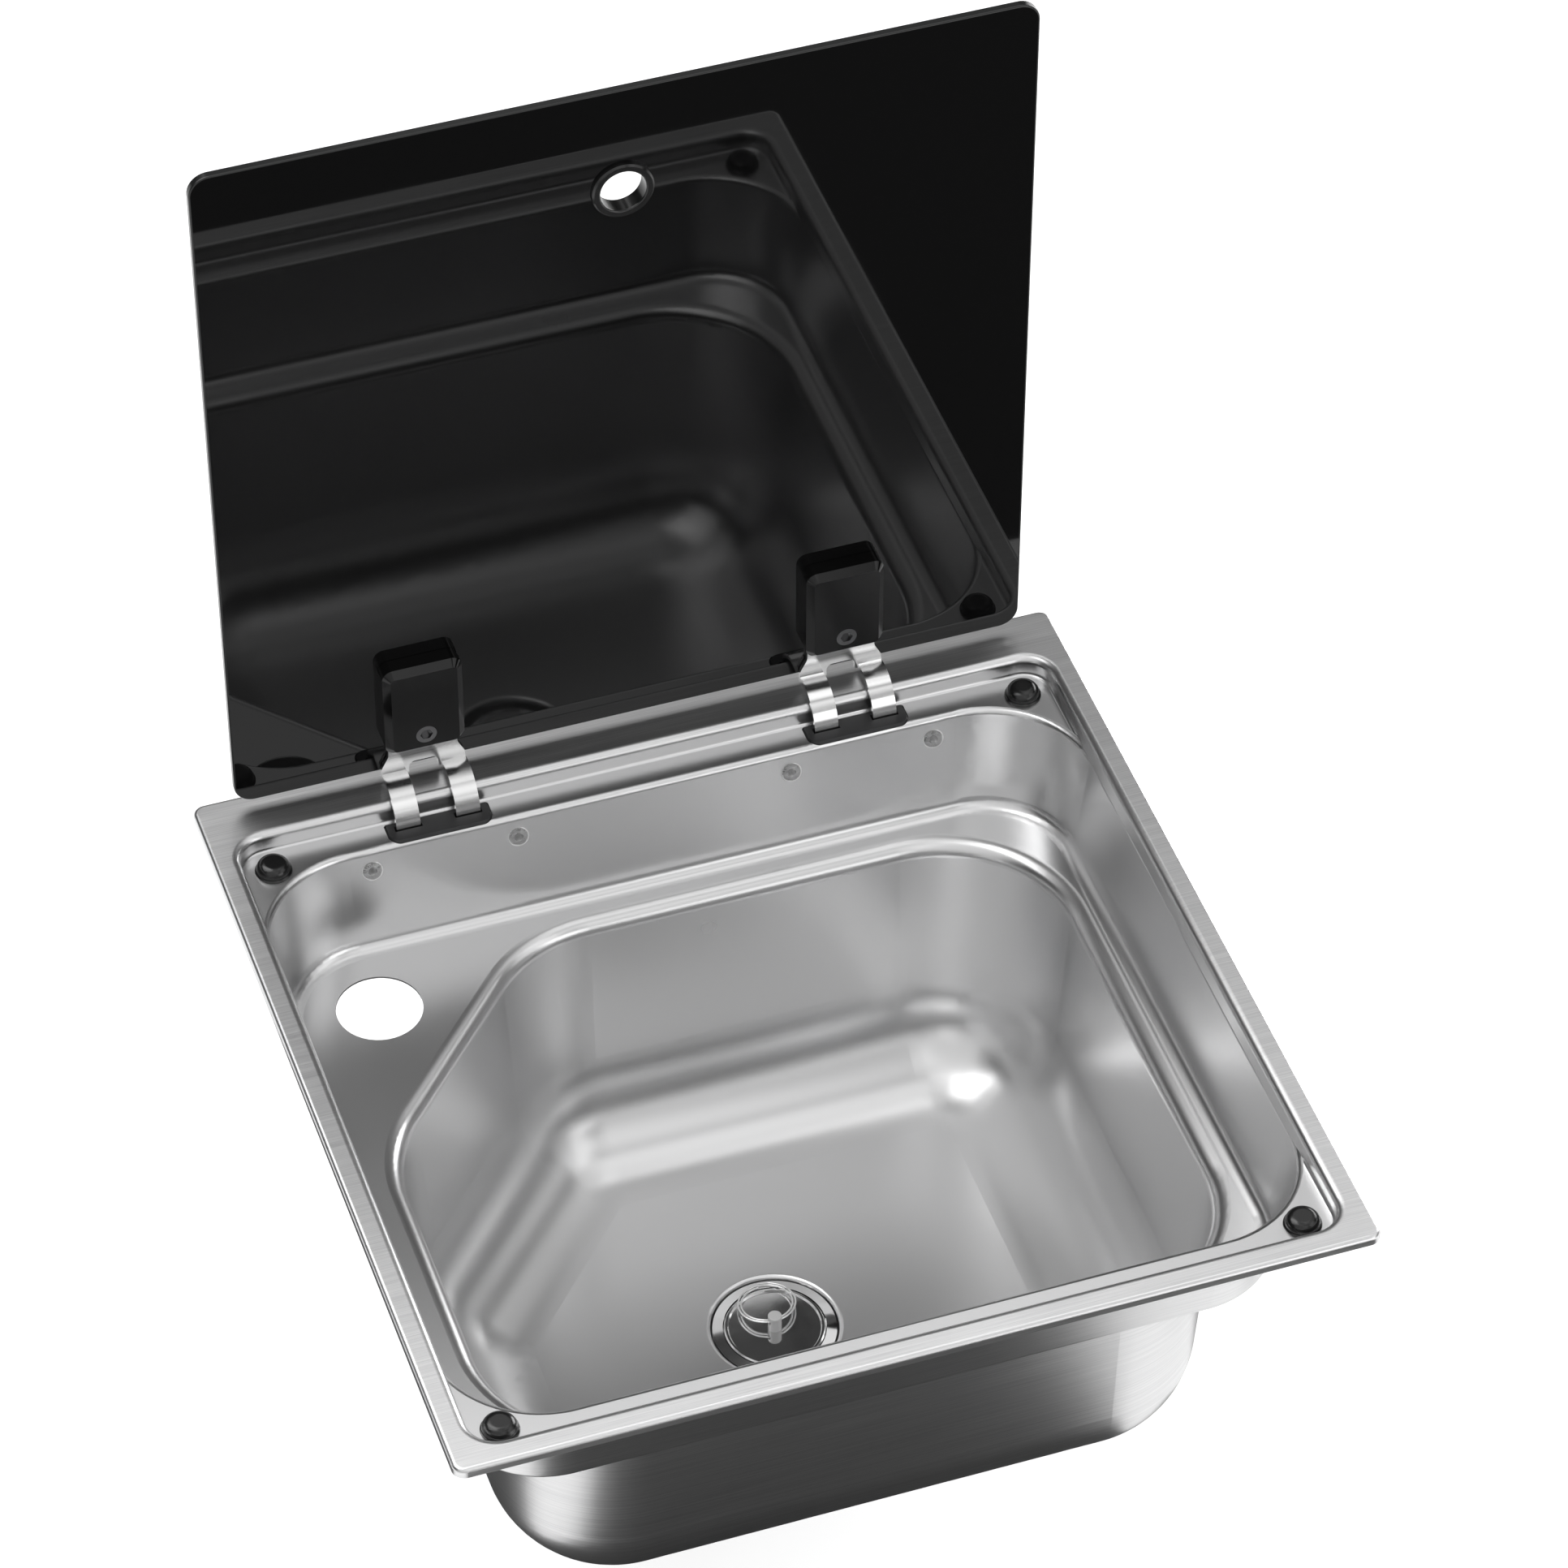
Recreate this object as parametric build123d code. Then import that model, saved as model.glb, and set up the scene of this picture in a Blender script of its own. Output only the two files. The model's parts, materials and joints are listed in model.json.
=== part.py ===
from build123d import *

import os
from math import acos, asin, atan, cos, degrees, radians, sin, sqrt, tan

# Drop-in vehicle sink with a hinged glass lid, shown with the lid upright.
# Millimetres. X runs to the right, Y to the back, Z up.
# Z = 0 is the top of the worktop, and X = Y = 0 is the middle of the rim.

# Pressed sheet: rim and the recess that the lid closes into
RIM_WIDTH = 400.0
RIM_LENGTH = 400.0
RIM_HEIGHT = 5.0        # rim's top above the worktop
RIM_CORNER = 5.5
RIM_EDGE = 2.0          # rounding of the rim's outer edge
LIP_DROP = 4.5          # turned-down lip, from the rim's top
SHEET = 0.9
LAND_SIDE = 12.0        # rim's edge to the recess wall
LAND_FRONT = 12.3
LAND_BACK = 27.0        # the deck behind the recess
RECESS_DEPTH = 10.0
RECESS_CORNER = 13.0
RECESS_MOUTH = 3.6      # rounding at the top of the recess wall
RECESS_FOOT = 1.5
SEAL_GAP = 0.3          # foam seal to the bends of the sheet

# Upper bowl, from the ledge down to the tap shelf. It has no ledge at its sides,
# where its walls run on from the walls of the recess.
LEDGE_FRONT = 14.2
LEDGE_BACK = 14.8
BOWL_CORNER = 47.0
BOWL_MOUTH = 2.75
SHELF_DEPTH = 64.0      # from the rim's top
UPPER_LEAN_SIDE = 6.3   # how far the upper wall runs in on its way down
UPPER_LEAN_FRONT = 10.5
UPPER_LEAN_BACK = 5.7
SHELF_CORNER = 42.0
SHELF_FOOT = 6.5
SHELF_HEEL = 3.0        # the same bend, on the sheet's lower face

# Deep bowl, below the shelf, with one corner cut off to leave room for the tap
SHELF_RIGHT = 14.0
SHELF_LEFT = 21.5
SHELF_FRONT = 16.5
SHELF_BACK = 17.0
TAP_CUT_ALONG_BACK = 94.0
TAP_CUT_ALONG_LEFT = 103.0
DEEP_CORNER = 60.0
TAP_CUT_CORNER = 63.0
DEEP_MOUTH = 8.0
DEEP_DRAFT = 3.5        # degrees
FLOOR_DEPTH = 192.0     # from the rim's top
FLOOR_FOOT = 49.0
TAP_HOLE_RADIUS = 19.25
TAP_HOLE_SIDE = 40.6    # hole's middle to the foot of the upper wall
TAP_HOLE_BACK = 36.6

# Waste, in a pressed dish in the floor
WASTE_X = 0.0
WASTE_Y = -8.5
DISH_RADIUS = 28.5
DISH_DEPTH = 3.4
DISH_MOUTH = 2.2
DISH_FOOT = 0.6
GASKET = 1.0
WASTE_FLANGE = 1.6
CUP_RADIUS = 23.2
CUP_WALL = 1.6
SEAT_DEPTH = 14.0       # plug's seat below the top of the waste flange
TAIL_RADIUS = 17.0      # bore of the tail
TAIL_WALL = 2.2
TAIL_LENGTH = 16.0
SPIGOT_RADIUS = 12.5    # outside, for a 25 mm hose
SPIGOT_WALL = 2.0
SPIGOT_LENGTH = 38.0
THREAD_PLAY = 0.1
NUT_FLANGE = 8.0        # back nut's flange beyond its thread
NUT_SKIRT = 5.0         # its skirt beyond the thread
NUT_DEPTH = 7.0
NUT_FLANGE_THICK = 2.0
NUT_RIBS = 12
NUT_RIB_OFFSET = 0.6    # rib's middle beyond the skirt
NUT_RIB_DEEP = 2.4
NUT_RIB_WIDE = 3.0
WASHER_WIDTH = 7.0
WASHER_THICK = 2.5
TAIL_WASHER = 1.5
SPIGOT_COLLAR = 2.5     # thickness of the collar that the coupling nut clamps
SPIGOT_NECK = 8.0       # collar's face to the narrow part
BARB_RISE = 1.0
BARB_LENGTH = 5.0
BARB_PITCH = 7.0
BARB_START = 4.0        # first barb above the spigot's end
COUPLING_RISE = 9.0     # coupling nut above the tail's end
COUPLING_WALL = 4.0
COUPLING_FLOOR = 2.5
COUPLING_GRASP = 2.2    # how far its floor reaches under the collar

# Plug and its pull ring
PLUG_PLAY = 0.5
PLUG_SINK = 1.2         # plate's face below the bowl's floor
PLUG_PLATE = 1.6
PLUG_BEAD = 2.2
PLUG_BEAD_RISE = 1.0
PLUG_STEM = 5.0
SEAL_THICK = 3.0
POST_RADIUS = 3.1
POST_HEIGHT = 8.0
RING_EYE = 1.75         # radius of the hole through the post
RING_EYE_DROP = 3.0     # below the post's top
RING_RADIUS = 11.3      # middle of the inner turn's wire
RING_WIRE = 0.4
RING_PITCH = 1.3
RING_DROOP = 8.4        # degrees

# Glass lid
GLASS = 4.0
GLASS_CORNER = 9.0
GLASS_EDGE = 0.8
LID_GAP_SIDE = 6.0      # closed lid to the recess wall
LID_GAP_FRONT = 4.8
LID_GAP_BACK = 7.0
LID_REAR_INSET = 6.4    # upright lid's rear face to the rim's back edge
LID_CLEARANCE = 5.8     # upright lid's lower edge above the rim's top
GRIP_INSET = 51.2      # grip's middle below the lid's free edge
GRIP_BORE = 10.0
GRIP_HOLE = 11.5        # radius of the hole in the glass
GRIP_FLANGE = 13.5
GRIP_LIP = 2.2
BUMPER_RADIUS = 7.5
BUMPER_FOOT = 8.2
BUMPER_STEM = 2.4
BUMPER_IN_SIDE = 14.0   # bumper's middle to the recess wall
BUMPER_IN_FRONT = 12.2
BUMPER_IN_BACK = 13.0
LID_REST_GAP = 0.3      # closed lid to the bumpers

# Hinges, one at each side of the middle
HINGE_INSET = 91.0      # hinge's middle to the recess wall at its side
ARM_SPACING = 13.7      # arm's middle to the hinge's middle
ARM_WIDTH = 11.0
ARM_RADIUS = 16.9       # outside of the curved arm, about the pivot
ARM_THICK = 2.0
WEB_ANGLE = 200.0       # degrees, from the back round over the top
KNUCKLE_RADIUS = 4.2
PIN_RADIUS = 2.0
PIN_PLAY = 0.05
PLATE_WIDTH = 31.5
PLATE_TOP = 60.0        # above the rim's top
PLATE_NOTCH = 13.4
NOTCH_TOP = 9.4
NOTCH_DEEP = 20.0
SHOULDER = 15.0         # where the plate starts to widen
PAD = 0.5
BLOCK_WIDTH = 36.0
BLOCK_FOOT = 21.0
BLOCK_HEIGHT = 49.0
BLOCK_DEPTH = 10.0
BLOCK_CORNER = 5.0
BLOCK_BEVEL = 3.0
SCREW_RISE = 10.0       # clamp screw above the block's foot
SCREW_HEAD = 4.7
SCREW_SHANK = 2.4
INSERT_WIDTH = 47.6
INSERT_LENGTH = 12.4
INSERT_GAP = 1.6        # insert to the recess wall
INSERT_RISE = 0.8
INSERT_DROP = 2.6       # below the ledge's top
INSERT_PLAY = 0.15
ARM_PLAY = 0.7
SLOT_ANGLES = (120.0, 230.0)    # degrees of the arm's curve that the slots clear
HOUSING_DROP = 3.0      # housing's top below the ledge
HOUSING_HEIGHT = 18.5
HOUSING_WIDTH = 52.0
HOUSING_BACK = 5.7      # pivot to the housing's back
HOUSING_FLANGE = 4.5
FLANGE_WIDTH = 80.0
SEAT_GAP = 0.1
WALL_SCREW_SPACING = 33.5
WALL_SCREW_DEPTH = 21.0
WALL_SCREW_RADIUS = 2.0
WALL_SCREW_HEAD = 4.8
NUT_FLATS = 7.0
NUT_HEIGHT = 3.2

BLOCK_BASE = -250.0     # bottom of the solids that the sheet is cut from


def down(depth):
    """Height of a level measured down from the rim's top."""
    return RIM_HEIGHT - depth


# Places that follow from the sizes above
recess_side = RIM_WIDTH / 2 - LAND_SIDE
recess_front = RIM_LENGTH / 2 - LAND_FRONT
recess_back = RIM_LENGTH / 2 - LAND_BACK
bowl_side = recess_side
bowl_front = recess_front - LEDGE_FRONT
bowl_back = recess_back - LEDGE_BACK
foot_side = bowl_side - UPPER_LEAN_SIDE
foot_front = bowl_front - UPPER_LEAN_FRONT
foot_back = bowl_back - UPPER_LEAN_BACK
deep_right = foot_side - SHELF_RIGHT
deep_left = foot_side - SHELF_LEFT
deep_front = foot_front - SHELF_FRONT
deep_back = foot_back - SHELF_BACK
wall_height = SHELF_DEPTH - RECESS_DEPTH
wall_lean = atan(UPPER_LEAN_BACK / wall_height)
lid_width = 2 * (recess_side - LID_GAP_SIDE)
lid_height = recess_front + recess_back - LID_GAP_FRONT - LID_GAP_BACK
lid_rear = RIM_LENGTH / 2 - LID_REAR_INSET
hinge_x = recess_side - HINGE_INSET
lid_face = lid_rear - GLASS
lid_foot = RIM_HEIGHT + LID_CLEARANCE
closed_edge = recess_back - LID_GAP_BACK
# the pivot that brings the upright lid down flush with the rim
pivot_y = (lid_rear + closed_edge + LID_CLEARANCE) / 2
pivot_z = RIM_HEIGHT - (lid_rear - pivot_y)
plate_back = lid_face - PAD
plate_front = plate_back - ARM_THICK


def grown(points, by):
    """Corners of a counter-clockwise outline after each side moves out."""
    moved = []
    for i, (x, y) in enumerate(points):
        x0, y0 = points[i - 1]
        x1, y1 = points[(i + 1) % len(points)]
        before = Vector(y - y0, x0 - x).normalized()
        after = Vector(y1 - y, x - x1).normalized()
        step = (before + after) * (by / (1 + before.dot(after)))
        moved.append((x + step.X, y + step.Y))
    return moved


def outline(points, radii, by, z):
    """Flat face inside a rounded outline, with its sides moved out."""
    path = FilletPolyline(*grown(points, by), radius=[r + by for r in radii], close=True)
    return Pos(0, 0, z) * make_face(path)


def corners(right, left, front, back):
    return [(right, -front), (right, back), (-left, back), (-left, -front)]


def level_run(skin, lean):
    """Sideways step of a leaning wall's far skin, at the far skin's own level."""
    return skin * (1 - sin(lean)) / cos(lean)


def recess_space(skin):
    floor = down(RECESS_DEPTH) - skin
    points = corners(recess_side, recess_side, recess_front, recess_back)
    space = extrude(outline(points, [RECESS_CORNER] * 4, skin, floor), 2 * RECESS_DEPTH)
    return fillet(space.edges().group_by(Axis.Z)[0], RECESS_FOOT + skin)


def upper_space(skin):
    """Upper bowl with its rounded mouth, which the walls of the recess cut short."""
    top = down(RECESS_DEPTH) - skin
    bottom = down(SHELF_DEPTH) - skin
    step = level_run(skin, wall_lean)
    mouth = outline(corners(bowl_side, bowl_side, bowl_front, bowl_back),
                    [BOWL_CORNER] * 4, step, top)
    foot = outline(corners(foot_side, foot_side, foot_front, foot_back),
                   [SHELF_CORNER] * 4, step, bottom)
    space = loft([foot, mouth], ruled=True)
    space = fillet(space.edges().group_by(Axis.Z)[0], SHELF_HEEL if skin else SHELF_FOOT)
    bed = rim_slab(0, bottom, top)
    flared = bed - fillet(mouth_edges(bed - space, top), BOWL_MOUTH - skin)
    flared &= slice_y(2 * (recess_side + skin), bottom - 1, top + 1)
    return flared + extrude(flared.faces().sort_by(Axis.Z)[-1], RECESS_DEPTH)


def deep_space(skin):
    step = level_run(skin, radians(DEEP_DRAFT))
    points = [(deep_right, -deep_front), (deep_right, deep_back),
              (TAP_CUT_ALONG_BACK - deep_left, deep_back),
              (-deep_left, deep_back - TAP_CUT_ALONG_LEFT), (-deep_left, -deep_front)]
    radii = [DEEP_CORNER, DEEP_CORNER, TAP_CUT_CORNER, TAP_CUT_CORNER, DEEP_CORNER]
    top = outline(points, radii, step, down(SHELF_DEPTH) - skin)
    space = extrude(top, FLOOR_DEPTH - SHELF_DEPTH, dir=(0, 0, -1), taper=DEEP_DRAFT)
    return fillet(space.edges().group_by(Axis.Z)[0], FLOOR_FOOT + skin)


def dish_space(skin):
    top = down(FLOOR_DEPTH) - skin
    space = Pos(WASTE_X, WASTE_Y, top) * Cylinder(
        DISH_RADIUS + skin, DISH_DEPTH, align=(Align.CENTER, Align.CENTER, Align.MAX))
    return fillet(space.edges().group_by(Axis.Z)[0], DISH_FOOT + skin)


def mouth_edges(block, z):
    """Edges round the opening in the block's flat face at one height."""
    level = block.faces().filter_by(Axis.Z).filter_by_position(Axis.Z, z - 0.01, z + 0.01)
    return level.sort_by(SortBy.AREA)[-1].inner_wires()[0].edges()


def slice_y(width, low, high):
    """Level slab as long as the rim and as wide as asked."""
    return extrude(Pos(0, 0, low) * Rectangle(width, RIM_LENGTH), high - low)


def rim_slab(inset, low, high):
    face = RectangleRounded(RIM_WIDTH - 2 * inset, RIM_LENGTH - 2 * inset, RIM_CORNER - inset)
    return extrude(Pos(0, 0, low) * face, high - low)


def press_block(skin):
    """Everything under the sheet's upper face, or under its lower face."""
    slab = rim_slab(skin, down(LIP_DROP), down(0) - skin)
    slab = fillet(slab.edges().group_by(Axis.Z)[-1], RIM_EDGE - skin)
    block = slab + rim_slab(SHEET, BLOCK_BASE, down(LIP_DROP))
    block -= recess_space(skin)
    block -= upper_space(skin)
    block -= deep_space(skin)
    block -= dish_space(skin)
    for depth, radius in ((0, RECESS_MOUTH), (SHELF_DEPTH, DEEP_MOUTH),
                          (FLOOR_DEPTH, DISH_MOUTH)):
        block = fillet(mouth_edges(block, down(depth) - skin), radius - skin)
    return block


def upright(z):
    """Plane at one height, seen from above."""
    return Plane.XY.offset(z)


def side_view(x):
    """Plane with Y to the right and Z up, at one distance from the middle."""
    return Plane(origin=(x, 0, 0), x_dir=(0, 1, 0), z_dir=(1, 0, 0))


def slice_x(points, middle, width):
    """Prism along X from corners given as (y, z)."""
    face = side_view(middle - width / 2) * make_face(Polyline(*points, close=True))
    return extrude(face, width)


def turned(points, x, y):
    """Solid of revolution about a vertical axis from corners given as (radius, z)."""
    profile = Plane.XZ * make_face(Polyline(*points, close=True))
    return Pos(x, y, 0) * revolve(profile, Axis.Z)


def wall_y(z, skin=0.0):
    """Back wall of the upper bowl, at its inner face or a skin behind it."""
    run = (down(RECESS_DEPTH) - z) * tan(wall_lean)
    return bowl_back - run + skin / cos(wall_lean)


def wall_plane(x):
    """Plane on the back wall's inner face at a screw, facing into the bowl."""
    z = down(WALL_SCREW_DEPTH)
    return Plane(origin=(x, wall_y(z), z), x_dir=(1, 0, 0),
                 z_dir=(0, -cos(wall_lean), sin(wall_lean)))


def screw_places(side):
    return [side * (hinge_x + step) for step in (-WALL_SCREW_SPACING, WALL_SCREW_SPACING)]


def insert_outline(side, by):
    """Outline of the plastic insert in the ledge, rounder at its front corners."""
    back = recess_back - INSERT_GAP
    half = INSERT_WIDTH / 2
    points = [(half, back - INSERT_LENGTH), (half, back),
              (-half, back), (-half, back - INSERT_LENGTH)]
    path = FilletPolyline(*grown(points, by), radius=[5.0 + by, 1.5 + by, 1.5 + by, 5.0 + by],
                          close=True)
    return Pos(side * hinge_x, 0, 0) * make_face(path)


def bumper_places():
    x = recess_side - BUMPER_IN_SIDE
    front = BUMPER_IN_FRONT - recess_front
    back = recess_back - BUMPER_IN_BACK
    return {"front_left": (-x, front), "front_right": (x, front),
            "back_left": (-x, back), "back_right": (x, back)}


def waste_top():
    """Top of the waste flange, which lies on its gasket in the dish."""
    return down(FLOOR_DEPTH + DISH_DEPTH) + GASKET + WASTE_FLANGE


def drill(x, y, radius, low, high):
    return extrude(upright(low) * Pos(x, y) * Circle(radius), high - low)


def sink_pressing():
    sheet = press_block(0) - press_block(SHEET)
    tap_x = TAP_HOLE_SIDE - foot_side
    tap_y = foot_back - TAP_HOLE_BACK
    sheet -= drill(tap_x, tap_y, TAP_HOLE_RADIUS, down(SHELF_DEPTH) - 5, down(SHELF_DEPTH) + 5)
    dish_floor = down(FLOOR_DEPTH + DISH_DEPTH)
    sheet -= drill(WASTE_X, WASTE_Y, CUP_RADIUS + CUP_WALL + THREAD_PLAY * 3,
                   dish_floor - 5, dish_floor + 1)
    ledge = down(RECESS_DEPTH)
    for x, y in bumper_places().values():
        sheet -= drill(x, y, BUMPER_STEM + THREAD_PLAY, ledge - 3, ledge + 1)
    for side in (-1, 1):
        slot = insert_outline(side, INSERT_PLAY)
        sheet -= extrude(upright(ledge - 3) * slot, 4)
        for x in screw_places(side):
            hole = Pos(0, 0, -3) * Cylinder(WALL_SCREW_RADIUS + THREAD_PLAY, 8)
            sheet -= wall_plane(x) * hole
    return sheet


def rim_seal():
    """Foam strip between the rim and the worktop."""
    high = RIM_HEIGHT - SHEET
    outside = rim_slab(RIM_EDGE + SEAL_GAP, 0, high)
    inset = LAND_SIDE - RECESS_MOUTH - SEAL_GAP
    opening = RectangleRounded(RIM_WIDTH - 2 * inset, RIM_LENGTH - 2 * inset, RECESS_CORNER)
    inside = extrude(opening, high)
    return outside - inside


def lid_bumper(x, y):
    """Push-in rubber bumper with a thin ring at its foot and a barb below the sheet."""
    ledge = down(RECESS_DEPTH)
    top = down(GLASS) - LID_REST_GAP
    rise = top - ledge
    dome = fillet((upright(ledge) * Pos(x, y) * Cylinder(
        BUMPER_RADIUS, rise, align=(Align.CENTER, Align.CENTER, Align.MIN)))
        .edges().group_by(Axis.Z)[-1], rise * 0.72)
    ring = turned([(0, ledge), (BUMPER_FOOT, ledge), (BUMPER_FOOT, ledge + 0.7),
                   (BUMPER_FOOT - 0.5, ledge + 1.2), (0, ledge + 1.2)], x, y)
    under = ledge - SHEET
    stem = turned([(0, ledge), (BUMPER_STEM, ledge), (BUMPER_STEM, under - 0.1),
                   (BUMPER_STEM + 1.2, under - 0.1), (BUMPER_STEM - 0.8, under - 5),
                   (0, under - 5)], x, y)
    return dome + ring + stem


# --- Lid ---


def lid_plane(y):
    """Plane of the upright lid at one depth, facing the front."""
    return Plane(origin=(0, y, 0), x_dir=(1, 0, 0), z_dir=(0, -1, 0))


def grip_height():
    return lid_foot + lid_height - GRIP_INSET


def lid_glass():
    face = RectangleRounded(lid_width, lid_height, GLASS_CORNER)
    middle = lid_foot + lid_height / 2
    sheet = extrude(lid_plane(lid_rear) * Pos(0, middle) * face, GLASS)
    edges = sheet.faces().sort_by(Axis.Y)[0].edges() + sheet.faces().sort_by(Axis.Y)[-1].edges()
    sheet = fillet(edges, GLASS_EDGE)
    hole = extrude(lid_plane(lid_rear + 1) * Pos(0, grip_height()) * Circle(GRIP_HOLE), GLASS + 2)
    return sheet - hole


def finger_grip():
    """Rubber ring in the glass, with a flange on both faces."""
    front = GLASS + GRIP_LIP
    back = -GRIP_LIP
    groove = GRIP_HOLE - 0.1
    points = [(GRIP_BORE, back), (GRIP_FLANGE - 0.8, back), (GRIP_FLANGE, back + 0.8),
              (GRIP_FLANGE, -0.05), (groove, -0.05), (groove, GLASS + 0.05),
              (GRIP_FLANGE, GLASS + 0.05), (GRIP_FLANGE, front - 0.8),
              (GRIP_FLANGE - 0.8, front), (GRIP_BORE, front)]
    ring = revolve(Plane.XZ * make_face(Polyline(*points, close=True)), Axis.Z)
    inner = ring.edges().filter_by(GeomType.CIRCLE).sort_by(SortBy.RADIUS)[:2]
    ring = fillet(inner, 0.8)
    return lid_plane(lid_rear) * Pos(0, grip_height(), 0) * ring


# --- Hinges ---


def arc_band(x, width, start, stop, play=0.0):
    """Curved strip about the pivot, between two angles."""
    outer = CenterArc((pivot_y, pivot_z), ARM_RADIUS + play, start, stop - start)
    inner = CenterArc((pivot_y, pivot_z), ARM_RADIUS - ARM_THICK - play, start, stop - start)
    loop = [outer, Line(outer @ 1, inner @ 1), inner, Line(inner @ 0, outer @ 0)]
    return extrude(side_view(x - width / 2) * make_face(loop), width)


def pivot_round(x, width, radius):
    face = Pos(pivot_y, pivot_z) * Circle(radius)
    return extrude(side_view(x - width / 2) * face, width)


def hinge_arm(x):
    """Curved arm, its web and the knuckle that turns on the pin."""
    bend = degrees(acos((plate_back - pivot_y) / ARM_RADIUS))
    arm = arc_band(x, ARM_WIDTH, bend, WEB_ANGLE)
    reach = ARM_RADIUS - ARM_THICK / 4
    middle = WEB_ANGLE - degrees(asin(ARM_THICK / 2 / ARM_RADIUS))
    web = Pos(reach / 2, 0) * Rectangle(reach, ARM_THICK)
    web = Pos(pivot_y, pivot_z) * Rot(0, 0, middle) * web
    arm += extrude(side_view(x - ARM_WIDTH / 2) * web, ARM_WIDTH)
    arm += pivot_round(x, ARM_WIDTH, KNUCKLE_RADIUS)
    return arm - pivot_round(x, ARM_WIDTH + 2, PIN_RADIUS + PIN_PLAY)


def plate_foot():
    """Lower edge of the hinge plate, where it meets the curved arms."""
    inner = ARM_RADIUS - ARM_THICK
    return pivot_z + sqrt(inner ** 2 - (plate_front - pivot_y) ** 2)


def hinge_bracket(side):
    """Plate on the lid's face that splits into two curved arms."""
    x = side * hinge_x
    wide = ARM_SPACING + ARM_WIDTH / 2
    half = PLATE_WIDTH / 2
    top = RIM_HEIGHT + PLATE_TOP
    foot = plate_foot()
    shoulder = RIM_HEIGHT + SHOULDER
    points = [(wide, foot), (wide, foot + 5), (half, shoulder), (half, top),
              (-half, top), (-half, shoulder), (-wide, foot + 5), (-wide, foot)]
    path = FilletPolyline(*points, radius=[0, 4, 6, 3, 3, 6, 4, 0], close=True)
    face = make_face(path)
    notch_top = RIM_HEIGHT + NOTCH_TOP
    notch = Pos(0, notch_top - NOTCH_DEEP / 2) * Rectangle(PLATE_NOTCH, NOTCH_DEEP)
    notch = fillet(notch.vertices().group_by(Axis.Y)[-1], 3)
    plate = extrude(lid_plane(plate_back) * Pos(x, 0) * (face - notch), ARM_THICK)
    tap = Pos(x, clamp_height()) * Circle(SCREW_SHANK + THREAD_PLAY / 2)
    plate -= extrude(lid_plane(plate_back + 1) * tap, ARM_THICK + 2)
    for step in (-ARM_SPACING, ARM_SPACING):
        plate += hinge_arm(x + step)
    return plate


def clamp_height():
    return RIM_HEIGHT + BLOCK_FOOT + SCREW_RISE


def block_face():
    return lid_face - BLOCK_DEPTH


def hinge_block(side):
    """Moulded block over the plate, with a bevelled front and an open foot."""
    middle = RIM_HEIGHT + BLOCK_FOOT + BLOCK_HEIGHT / 2
    face = RectangleRounded(BLOCK_WIDTH, BLOCK_HEIGHT, BLOCK_CORNER)
    depth = BLOCK_DEPTH - 2 * SEAT_GAP
    block = extrude(lid_plane(block_face() + depth) * Pos(side * hinge_x, middle) * face, depth)
    block = chamfer(block.faces().sort_by(Axis.Y)[0].edges(), BLOCK_BEVEL)
    pocket_top = RIM_HEIGHT + PLATE_TOP + SEAT_GAP
    low = RIM_HEIGHT + BLOCK_FOOT - 1
    pocket = Pos(side * hinge_x, (low + pocket_top) / 2) * Rectangle(
        PLATE_WIDTH + 2 * SEAT_GAP, pocket_top - low)
    block -= extrude(lid_plane(lid_face + 1) * pocket, lid_face + 1 - plate_front + SEAT_GAP)
    bore = Pos(side * hinge_x, clamp_height()) * Circle(SCREW_SHANK + THREAD_PLAY)
    block -= extrude(lid_plane(lid_face) * bore, BLOCK_DEPTH + 2)
    return block - head_cone(side, SEAT_GAP)


def head_cone(side, play):
    """Countersunk screw head, flush with the block's face."""
    face = lid_plane(block_face() - play) * Pos(side * hinge_x, clamp_height())
    drop = SCREW_HEAD - SCREW_SHANK
    rim = SCREW_HEAD + play
    head = extrude(face * Circle(rim), -0.6 - play)
    cone = face * Pos(0, 0, -0.6 - play - drop / 2) * Cone(SCREW_SHANK + play, rim, drop)
    return head + cone


def clamp_screw(side):
    """Countersunk screw with a hexagon socket, into the hinge plate."""
    length = plate_back - block_face() - 0.2
    place = Pos(side * hinge_x, clamp_height())
    shank = extrude(lid_plane(plate_back - 0.2) * place * Circle(SCREW_SHANK), length)
    screw = head_cone(side, 0) + shank
    socket = lid_plane(block_face()) * place * RegularPolygon(2.9, 6)
    return screw - extrude(socket, -2.6)


def glass_pad(side):
    """Thin bonding pad between the hinge plate and the glass."""
    low = lid_foot + 2
    high = RIM_HEIGHT + PLATE_TOP - 1
    pad = Pos(side * hinge_x, (low + high) / 2) * RectangleRounded(
        PLATE_WIDTH - 2, high - low, 2)
    return extrude(lid_plane(lid_face) * pad, PAD)


def slot_insert(side):
    """Plastic insert that lines the slot in the ledge, with a gap for each arm."""
    ledge = down(RECESS_DEPTH)
    low = ledge - INSERT_DROP
    body = extrude(upright(low) * insert_outline(side, 0), INSERT_DROP + INSERT_RISE)
    front = body.faces().sort_by(Axis.Z)[-1].edges().sort_by(Axis.Y)[0]
    body = chamfer(front, INSERT_RISE, 2.0, reference=body.faces().sort_by(Axis.Z)[-1])
    for step in (-ARM_SPACING, ARM_SPACING):
        body -= arc_band(side * hinge_x + step, ARM_WIDTH + 2 * ARM_PLAY, *SLOT_ANGLES, ARM_PLAY)
    return body


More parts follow.
